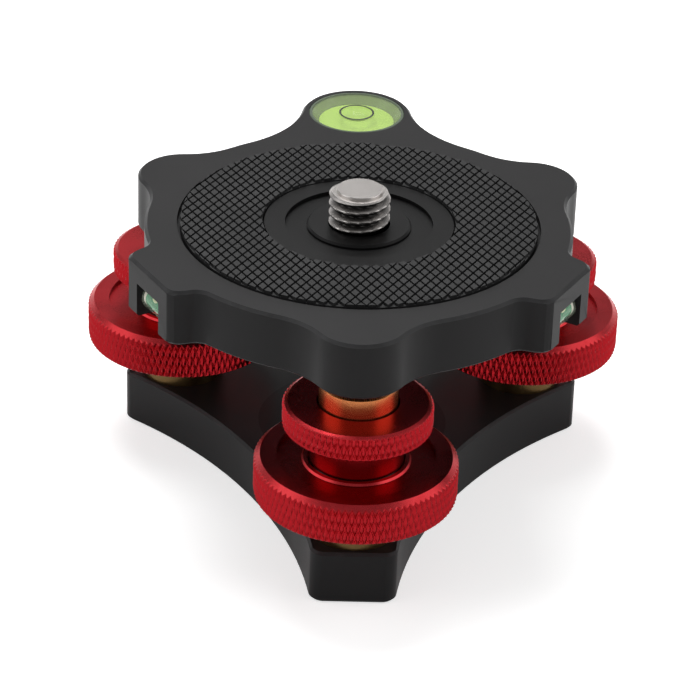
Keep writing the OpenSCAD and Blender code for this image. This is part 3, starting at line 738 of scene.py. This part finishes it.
def level_floor():
    """Green floor under the round level's liquid."""
    backing = plate_ring("level_floor", [
        (0, LEVEL_BACK_Z), (LEVEL_SEEN_FLOOR, LEVEL_BACK_Z),
        (LEVEL_SEEN_FLOOR, LEVEL_SEEN_FLOOR_Z), (0, LEVEL_SEEN_FLOOR_Z)],
        LEVEL_AT, "Level Floor")
    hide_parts("bullseye_backing")


def bubble_hollow(radius):
    """Half section of the hollow that the bubble leaves in the top of the round level's liquid."""
    steps = 12
    depth = radius * 0.35
    turns = [math.pi / 2 * (1 + i / steps) for i in range(steps)]
    side = [(radius * math.sin(turn), LEVEL_LIQUID_Z + depth * math.cos(turn)) for turn in turns]
    return side + [(0, LEVEL_LIQUID_Z - depth)]


def level_liquid(sizes):
    """Liquid of the round level, with the bubble as a hollow in its top."""
    low_z = LEVEL_SEEN_FLOOR_Z + LEVEL_PLAY
    line = [(0, low_z), (LEVEL_SEEN_FLOOR - LEVEL_PLAY, low_z), (LEVEL_WINDOW, LEVEL_LIQUID_Z)]
    line += bubble_hollow(sizes.level_bubble_radius / MM)
    liquid = plate_ring("level_liquid", line, LEVEL_AT, "Level Liquid")
    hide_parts("bullseye_fluid")


def level_window(sizes):
    """Clear window of the round level, and the ring mark printed on it."""
    ink_z = LEVEL_TOP - LEVEL_INK
    mark_in = (sizes.mark_radius - sizes.mark_width / 2) / MM
    mark_out = (sizes.mark_radius + sizes.mark_width / 2) / MM
    plate_ring("level_window", [
        (0, LEVEL_WINDOW_Z), (LEVEL_WINDOW, LEVEL_WINDOW_Z), (LEVEL_WINDOW, ink_z), (0, ink_z)],
        LEVEL_AT, "Clear Acrylic")
    plate_ring("level_ring_mark", [
        (mark_in, ink_z), (mark_out, ink_z), (mark_out, LEVEL_TOP), (mark_in, LEVEL_TOP), (mark_in, ink_z)],
        LEVEL_AT, "Mark Ink")


class LEVELING_BASE_OT_round_level(bpy.types.Operator):
    """Builds the round level: cup, floor, liquid with the bubble's hollow, and window with a ring mark"""

    bl_idname = "leveling_base.round_level"
    bl_label = "Round Level"

    def execute(self, context):
        sizes = context.scene.leveling_base_sizes
        level_cup()
        level_floor()
        level_liquid(sizes)
        level_window(sizes)
        return {"FINISHED"}


def tube_bubble(side, sizes):
    """Bubble just under the wall of one tube level, on its outer upper side, painted pale and opaque as its
    highlight.
    """
    outward = Vector((side * math.cos(VIAL_EAR_ANGLE), math.sin(VIAL_EAR_ANGLE), 0))
    along = Vector((-side * math.sin(VIAL_EAR_ANGLE), math.cos(VIAL_EAR_ANGLE), 0))
    up = Vector((0, 0, 1))
    lifted = (outward + up).normalized()
    around = lifted.cross(along)
    low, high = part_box("tube_vials")
    middle = outward * TUBE_AT * MM + along * TUBE_MIDDLE * MM + up * (low.z + high.z) / 2
    lift = 1.3 * MM
    shell = bmesh.new()
    bmesh.ops.create_icosphere(shell, subdivisions=3, radius=1)
    for vert in shell.verts:
        radial = lifted * (lift + vert.co.z * sizes.tube_bubble_width / 2)
        radial += around * vert.co.x * sizes.tube_bubble_width / 2
        radial *= min(1, TUBE_BUBBLE_REACH * MM / radial.length)
        vert.co = middle + radial + along * vert.co.y * sizes.tube_bubble_length / 2
    bmesh.ops.recalc_face_normals(shell, faces=shell.faces)
    piece = shell_piece("tube_bubble_right" if side > 0 else "tube_bubble_left", shell, "Bubble")
    smooth_by_angle(piece, RING_EDGE)
    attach(piece, "plate")


class LEVELING_BASE_OT_tube_bubbles(bpy.types.Operator):
    """Builds the bubbles of the two tube levels"""

    bl_idname = "leveling_base.tube_bubbles"
    bl_label = "Tube Bubbles"

    def execute(self, context):
        for side in (1, -1):
            tube_bubble(side, context.scene.leveling_base_sizes)
        return {"FINISHED"}


# Edges of the base plate shorter than this, in millimetres, go before its corners are rounded
SHORT_EDGE = 0.2
# Points of a plate nearer than this, in millimetres, are one point
SAME_POINT = 0.0005
# Upright share of a face's normal above which the face is level
LEVEL_FACE = 0.95
# Upright share of an edge's length above which the edge runs up
STEEP_EDGE = 0.4
# Angles in degrees between the faces of an edge: almost flat, and the least and the most of a slight corner
FLAT_EDGE = 0.3
LEAST_CORNER = 14
MOST_CORNER = 50


def splits_flat_side(edge):
    """Whether an edge only splits a flat face that isn't level."""
    level = max(abs(face.normal.z) for face in edge.link_faces) > LEVEL_FACE
    return edge.is_manifold and not level and edge.calc_face_angle(0) < math.radians(FLAT_EDGE)


def is_upright_corner(edge):
    """Whether an edge runs up or over a chamfer at a slight corner between two sides."""
    along = edge.verts[1].co - edge.verts[0].co
    steep = abs(along.z) > STEEP_EDGE * along.length
    slight = math.radians(LEAST_CORNER) < edge.calc_face_angle(0) < math.radians(MOST_CORNER)
    return edge.is_manifold and steep and slight


def rounded_copy(node, name, shortest):
    """Copy of a solid with its slight upright corners rounded, once its shortest edges are gone."""
    sizes = bpy.context.scene.leveling_base_sizes
    shell = bmesh.new()
    shell.from_mesh(NODES[node].data)
    bmesh.ops.remove_doubles(shell, verts=shell.verts, dist=SAME_POINT * MM)
    splits = [edge for edge in shell.edges if splits_flat_side(edge)]
    bmesh.ops.dissolve_edges(shell, edges=splits, use_verts=False)
    bmesh.ops.collapse(shell, edges=[edge for edge in shell.edges if edge.calc_length() < shortest])
    corners = [edge for edge in shell.edges if is_upright_corner(edge)]
    bmesh.ops.bevel(
        shell, geom=corners, offset=sizes.corner_width, offset_type="OFFSET", segments=3,
        profile=0.5, affect="EDGES", clamp_overlap=False)
    bmesh.ops.triangulate(shell, faces=shell.faces)
    piece = shell_piece(name, shell, "Black Anodised")
    smooth_by_angle(piece, CUT_EDGE)
    weighting = piece.modifiers.new("Weighting", "WEIGHTED_NORMAL")
    weighting.keep_sharp = True
    weighting.weight = 100
    return piece


class LEVELING_BASE_OT_plates(bpy.types.Operator):
    """Copies the two plates with their upright corners rounded"""

    bl_idname = "leveling_base.plates"
    bl_label = "Plates"

    def execute(self, context):
        for node, body, shortest in (("base_plate", "base", SHORT_EDGE * MM), ("top_plate", "plate", 0)):
            piece = rounded_copy(node, f"rounded_{node}", shortest)
            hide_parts(node)
            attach(piece, body)
        return {"FINISHED"}


# Finishes


def object_place(tree):
    """Place of a shaded point on its piece."""
    return output_of(tree, "ShaderNodeTexCoord", key="Object")


def height_of(place):
    return output_of(place.tree, "ShaderNodeSeparateXYZ", {0: place}, "Z")


def length_of(place):
    return output_of(place.tree, "ShaderNodeVectorMath", {0: place}, "Value", operation="LENGTH")


def axis_distance(place):
    """Distance of a place from the z axis."""
    return length_of(output_of(
        place.tree, "ShaderNodeVectorMath", {0: place, 1: (1, 1, 0)}, operation="MULTIPLY"))


def noise(place, scale, detail):
    return output_of(place.tree, "ShaderNodeTexNoise", {
        "Vector": place, "Scale": scale, "Detail": detail}, "Fac")


def remapped(value, given_low, given_high, low, high):
    """Value taken from one range to another, and kept inside it."""
    return output_of(value.tree, "ShaderNodeMapRange", {
        "Value": value, "From Min": given_low, "From Max": given_high, "To Min": low, "To Max": high})


def surface_grain_group():
    """Fine grain for blasted, moulded and plated surfaces."""
    tree, given, out = new_group(
        "ShaderNodeTree", "Surface Grain",
        {"Grain Size": ("Float", 0.0002), "Low": ("Float", 0.3), "High": ("Float", 0.4)},
        {"Roughness": ("Float", None), "Height": ("Float", None), "Value": ("Float", None)})
    place = object_place(tree)
    grain = noise(place, 1 / given["Grain Size"], 3.0)
    clouds = noise(place, 90.0, 2.0)
    both = grain * 0.5 + clouds * 0.5
    connect(remapped(both, 0.3, 0.7, given["Low"], given["High"]), out["Roughness"])
    connect(grain, out["Height"])
    connect(clouds, out["Value"])


def painted_chamfer_highlight_group():
    """Mask of the narrow chamfers, which slope between level and upright faces, where a highlight is
    painted.
    """
    tree, given, out = new_group(
        "ShaderNodeTree", "Painted Chamfer Highlight", {"Amount": ("Float", 0.5)}, {"Mask": ("Float", None)})
    least_up = 0.4
    most_up = 0.92
    up = maths("ABSOLUTE", height_of(output_of(tree, "ShaderNodeTexCoord", key="Normal")))
    # Painted highlight: sloped chamfers are picked by the way they face, in patches
    sloped = (up > least_up) * (up < most_up)
    patchy = remapped(noise(object_place(tree), 400.0, 3.0), 0.35, 0.65, 0.6, 1.0)
    connect(sloped * patchy * given["Amount"], out["Mask"])


def feed(material, value, label):
    """Links a value to an input of a material's Principled shader."""
    connect(value, material.node_tree.nodes["Principled BSDF"].inputs[label])


def relief(material, height, strength, depth):
    """Gives a material relief from a height, to a depth in millimetres."""
    bump = output_of(material.node_tree, "ShaderNodeBump", {
        "Height": height, "Strength": strength, "Distance": depth * MM})
    feed(material, bump, "Normal")


def new_material(name, colour, settings):
    """Material with its Principled shader's plain values set."""
    material = bpy.data.materials.new(name)
    material.use_nodes = True
    shader = material.node_tree.nodes["Principled BSDF"]
    for key, value in {"Base Color": colour, **settings}.items():
        shader.inputs[key].default_value = value
    return material


def grained(material, size, low, high, bump):
    """Fine grain in a material's relief and, between two values, its roughness; returns its soft clouds."""
    grain = nested(material.node_tree, "Surface Grain", {"Grain Size": size, "Low": low, "High": high})
    feed(material, grain["Roughness"], "Roughness")
    relief(material, grain["Height"], bump, 0.02)
    return grain["Value"]


def two_tone(material, factor, first, second):
    """Base colour that runs between two colours with a factor."""
    mix = output_of(
        material.node_tree, "ShaderNodeMix", {0: factor, 6: first, 7: second}, 2, data_type="RGBA")
    feed(material, mix, "Base Color")


def tinted(material, mask, colour):
    """Lays a colour over a material's mixed base colour where a mask is 1."""
    shader = material.node_tree.nodes["Principled BSDF"]
    two_tone(material, mask, Value(shader.inputs["Base Color"].links[0].from_socket), colour)


def scaled_colour(colour, share):
    return tuple(min(1, c * share) for c in colour[:3]) + (1,)


def mottled(material, value, colour, low, high):
    """Base colour that runs with a value between two brightnesses of one colour."""
    two_tone(material, value, scaled_colour(colour, low), scaled_colour(colour, high))


def anodised_black(finishes):
    """Black plates, with a painted highlight on their chamfers and painted shade inside the pad's bore."""
    material = new_material("Black Anodised", finishes.black, {"Specular IOR Level": 0.13})
    grained(material, 0.12 * MM, 0.3, 0.42, 0.2)
    # Paler black painted on the chamfers as their highlight
    painted_highlight_black = (0.07, 0.07, 0.072, 1)
    chamfer_highlight = nested(material.node_tree, "Painted Chamfer Highlight", {"Amount": 0.35})
    two_tone(material, chamfer_highlight["Mask"], finishes.black, painted_highlight_black)
    # Darker black painted inside the pad's bore as the shade of that hollow
    painted_shade_bore = axis_distance(object_place(material.node_tree)) < PAD_BORE * MM
    tinted(material, painted_shade_bore, scaled_colour(finishes.black, 0.25))
    return material


def anodised_red(finishes):
    """Red wheels, with a painted highlight on their chamfers."""
    material = new_material("Red Anodised", finishes.red, {"Metallic": 1.0})
    clouds = grained(material, 0.1 * MM, 0.22, 0.34, 0.12)
    mottled(material, clouds, finishes.red, 0.85, 1.1)
    # Brighter red painted on the chamfers as their highlight
    painted_highlight_red = (0.8, 0.07, 0.08, 1)
    chamfer_highlight = nested(material.node_tree, "Painted Chamfer Highlight", {"Amount": 0.5})
    tinted(material, chamfer_highlight["Mask"], painted_highlight_red)


def plain_metal(name, colour, low, high):
    material = new_material(name, colour, {"Metallic": 1.0})
    clouds = grained(material, 0.15 * MM, low, high, 0.08)
    mottled(material, clouds, colour, 0.9, 1.08)
    return material


def moulded(name, colour, low, high, mirror=0.5):
    """Moulded plastic, rubber or ink, rough between two values."""
    material = new_material(name, colour, {"Specular IOR Level": mirror})
    clouds = grained(material, 0.2 * MM, low, high, 0.2)
    mottled(material, clouds, colour, 0.8, 1.15)
    return material


def turned_metal(name, colour, line_width, low, high):
    """Metal with fine lines that change with height and with distance from the z axis."""
    material = new_material(name, colour, {"Metallic": 1.0})
    place = object_place(material.node_tree)
    reach = height_of(place) + axis_distance(place)
    lines = output_of(material.node_tree, "ShaderNodeTexNoise", {
        "W": reach / line_width, "Detail": 2.0}, "Fac", noise_dimensions="1D")
    feed(material, remapped(lines, 0.3, 0.7, low, high), "Roughness")
    relief(material, lines, 0.3, 0.01)
    mottled(material, lines, colour, 0.8, 1.15)
    return material


def painted_thread_root_shade(material, finishes):
    """Darkens the roots of the camera screw's thread as painted shade."""
    place = object_place(material.node_tree)
    core = SCREW * MM - bpy.context.scene.leveling_base_sizes.thread_depth
    # Painted shade: darkest at the thread's root, none at its crest
    root = remapped(axis_distance(place), core, SCREW * MM, 1.0, 0.0)
    below_tip = height_of(place) < SCREW_CONE_Z * MM
    tinted(material, root * below_tip, scaled_colour(finishes.steel, 0.08))


def clear(name, colour, share):
    """See-through plastic or liquid that covers a share of what is behind it."""
    material = new_material(name, colour, {"Alpha": share})
    grained(material, 0.5 * MM, 0.02, 0.08, 0.05)
    return material


class LEVELING_BASE_OT_finishes(bpy.types.Operator):
    """Makes the materials and dresses the carried-over solids"""

    bl_idname = "leveling_base.finishes"
    bl_label = "Finishes"

    def execute(self, context):
        finishes = context.scene.leveling_base_finishes
        surface_grain_group()
        painted_chamfer_highlight_group()
        turned_blank_tree()
        ring_tree()
        black = anodised_black(finishes)
        anodised_red(finishes)
        copper = turned_metal("Copper Plate", finishes.copper, 0.15 * MM, 0.2, 0.32)
        # Bushes in bronze darkened as painted shade
        bronze = plain_metal("Bronze", finishes.bronze, 0.25, 0.4)
        steel = turned_metal("Bright Steel", finishes.steel, 0.12 * MM, 0.2, 0.36)
        painted_thread_root_shade(turned_metal("Threaded Steel", finishes.steel, 0.12 * MM, 0.2, 0.36), finishes)
        moulded("Pad Rubber", finishes.rubber, 0.45, 0.7, 0.28)
        moulded("Mark Ink", finishes.mark, 0.3, 0.5)
        dark_plastic = moulded("Dark Nylon", finishes.dark_plastic, 0.3, 0.5)
        pale_plastic = moulded("Pale Nylon", finishes.pale_plastic, 0.35, 0.55)
        moulded("Level Floor", finishes.level_green, 0.25, 0.4)
        moulded("Level Wall", finishes.level_wall, 0.15, 0.3)
        # Tube bubbles: opaque pale colour as a painted highlight
        moulded("Bubble", finishes.bubble, 0.1, 0.2)
        window = clear("Clear Acrylic", finishes.level_clear, 0.08)
        clear("Level Liquid", finishes.level_green, 0.12)
        tube_liquid = clear("Tube Liquid", finishes.tube_green, 0.85)
        dressed = {
            black: ["screw_ring"],
            bronze: ["tripod_bush", "bearing_bushes"],
            steel: ["ball_retainers"] + [f"wheel_retainer_{leg}" for leg in LEGS],
            copper: [f"stud_{leg}" for leg in LEGS],
            dark_plastic: ["thrust_washers"] + [f"lock_washer_{leg}" for leg in LEGS],
            pale_plastic: ["tube_caps"] + [f"ball_seat_{leg}" for leg in LEGS],
            window: ["tube_vials"],
            tube_liquid: ["tube_fluids"],
        }
        for material, names in dressed.items():
            for name in names:
                slots = NODES[name].data.materials
                slots.clear()
                slots.append(material)
        return {"FINISHED"}


# Stage

# Places and sizes of the stage in metres
FLOOR_SIZE = 6.0
LAMP_TARGET = (0, 0, 0.03)
KEY_AT = (-0.1, 0.35, 0.7)
KEY_SIZE = 0.5
LEFT_AT = (-0.65, -0.1, 0.35)
RIGHT_AT = (0.65, -0.1, 0.35)
FILL_SIZE = 0.7
# Distances from the origin between which the floor's glow grows
GLOW_GROWS_FROM = 0.1
GLOW_GROWS_TO = 0.4
# Heights of a view ray's direction between which the world's white ends
WHITE_TO = 0.1
WHITE_ENDS = 0.5


def plane(name, size, material):
    """Square plane at height zero that belongs to the stage."""
    mesh = bpy.data.meshes.new(name)
    half = size / 2
    corners = [(-half, -half, 0), (half, -half, 0), (half, half, 0), (-half, half, 0)]
    mesh.from_pydata(corners, [], [(0, 1, 2, 3)])
    mesh.materials.append(material)
    linked_object(name, mesh)


def seen_directly(tree, mirrored_share):
    """1 for a ray from the camera or a clear piece, a share for one from a mirror, otherwise 0."""
    path = outputs_of(add_node(tree, "ShaderNodeLightPath"))
    direct = maths("MAXIMUM", path["Is Camera Ray"], path["Is Transmission Ray"])
    return maths("MAXIMUM", direct, path["Is Glossy Ray"] * mirrored_share)


def floor_material(colour, glow):
    """Pale floor whose glow, where it is seen, grows to plain white away from the object and its shadow."""
    material = new_material("Pale Floor", colour, {
        "Roughness": 0.9, "Specular IOR Level": 0.0, "Emission Color": (1, 1, 1, 1)})
    tree = material.node_tree
    away = length_of(object_place(tree))
    growing = remapped(away, GLOW_GROWS_FROM, GLOW_GROWS_TO, glow, 1.0)
    feed(material, seen_directly(tree, 0.3) * growing, "Emission Strength")
    return material


def area_lamp(name, place, size, power):
    """Square lamp that points at the object."""
    lamp = bpy.data.lights.new(name, "AREA")
    lamp.shape = "SQUARE"
    lamp.size = size
    lamp.energy = power
    made = linked_object(name, lamp)
    made.location = place
    made.rotation_euler = (Vector(LAMP_TARGET) - Vector(place)).to_track_quat("-Z", "Y").to_euler()


def stage_camera(stage):
    """Camera at the photograph's angle: axes first, then the place that frames the plate."""
    right = Vector((1, 0, 0))
    forward = Vector((0, math.cos(stage.elevation), -math.sin(stage.elevation)))
    up = Vector((0, math.sin(stage.elevation), math.cos(stage.elevation)))
    across = math.cos(stage.roll) * right + math.sin(stage.roll) * up
    over = -math.sin(stage.roll) * right + math.cos(stage.roll) * up
    place = -stage.aside[0] * across - stage.aside[1] * over - stage.distance * forward
    turn = Matrix.Rotation(-stage.yaw, 4, "Z")
    axes = Matrix((across, over, -forward)).transposed().to_4x4()
    camera = bpy.data.cameras.new("Camera")
    camera.lens = stage.lens
    camera.sensor_width = 36
    camera.clip_start = 0.01
    made = linked_object("Camera", camera)
    made.matrix_world = Matrix.Translation((0, 0, PLATE_TOP * MM)) @ turn @ Matrix.Translation(place) @ axes
    bpy.context.scene.camera = made


def white_world(strength):
    """World whose horizon is white where it is seen, directly or in a mirror, and lights more softly."""
    world = bpy.data.worlds.new("Studio")
    world.use_nodes = True
    tree = world.node_tree
    background = tree.nodes["Background"]
    background.inputs["Color"].default_value = (1, 1, 1, 1)
    direction = output_of(tree, "ShaderNodeTexCoord", key="Generated")
    horizon = remapped(height_of(direction), WHITE_TO, WHITE_ENDS, 1.0, 0.0)
    connect(maths("MAXIMUM", seen_directly(tree, 1) * horizon, strength), background.inputs["Strength"])
    bpy.context.scene.world = world


class LEVELING_BASE_OT_stage(bpy.types.Operator):
    """Builds the floor, lamps, world and camera"""

    bl_idname = "leveling_base.stage"
    bl_label = "Stage"

    def execute(self, context):
        stage = context.scene.leveling_base_stage
        plane("floor", FLOOR_SIZE, floor_material(stage.floor, stage.glow))
        area_lamp("key", KEY_AT, KEY_SIZE, stage.key_power)
        area_lamp("left", LEFT_AT, FILL_SIZE, stage.fill_power)
        area_lamp("right", RIGHT_AT, FILL_SIZE, stage.fill_power)
        white_world(stage.sky)
        stage_camera(stage)
        context.scene.view_settings.view_transform = "Standard"
        return {"FINISHED"}


# Panel and registration


class LEVELING_BASE_PT_sidebar(bpy.types.Panel):
    """Sizes, finishes and stage of the leveling base"""

    bl_idname = "LEVELING_BASE_PT_sidebar"
    bl_label = "Leveling Base"
    bl_space_type = "VIEW_3D"
    bl_region_type = "UI"
    bl_category = "Leveling Base"

    def draw(self, context):
        for group in (context.scene.leveling_base_sizes, context.scene.leveling_base_finishes,
                      context.scene.leveling_base_stage):
            column = self.layout.column()
            for name in group.__annotations__:
                column.prop(group, name)
        for operator in OPERATORS:
            self.layout.operator(operator.bl_idname)


OPERATORS = (
    LEVELING_BASE_OT_finishes,
    LEVELING_BASE_OT_wheels,
    LEVELING_BASE_OT_pad,
    LEVELING_BASE_OT_screw,
    LEVELING_BASE_OT_round_level,
    LEVELING_BASE_OT_tube_bubbles,
    LEVELING_BASE_OT_plates,
    LEVELING_BASE_OT_stage,
)
CLASSES = (LevelingBaseSizes, LevelingBaseFinishes, LevelingBaseStage, *OPERATORS, LEVELING_BASE_PT_sidebar)


def register():
    for made in CLASSES:
        bpy.utils.register_class(made)
    bpy.types.Scene.leveling_base_sizes = bpy.props.PointerProperty(type=LevelingBaseSizes)
    bpy.types.Scene.leveling_base_finishes = bpy.props.PointerProperty(type=LevelingBaseFinishes)
    bpy.types.Scene.leveling_base_stage = bpy.props.PointerProperty(type=LevelingBaseStage)


def unregister():
    del bpy.types.Scene.leveling_base_stage
    del bpy.types.Scene.leveling_base_finishes
    del bpy.types.Scene.leveling_base_sizes
    for made in reversed(CLASSES):
        bpy.utils.unregister_class(made)


def main():
    register()
    bpy.ops.leveling_base.finishes()
    bpy.ops.leveling_base.wheels()
    bpy.ops.leveling_base.pad()
    bpy.ops.leveling_base.screw()
    bpy.ops.leveling_base.round_level()
    bpy.ops.leveling_base.tube_bubbles()
    bpy.ops.leveling_base.plates()
    bpy.ops.leveling_base.stage()


if __name__ == "__main__":
    main()
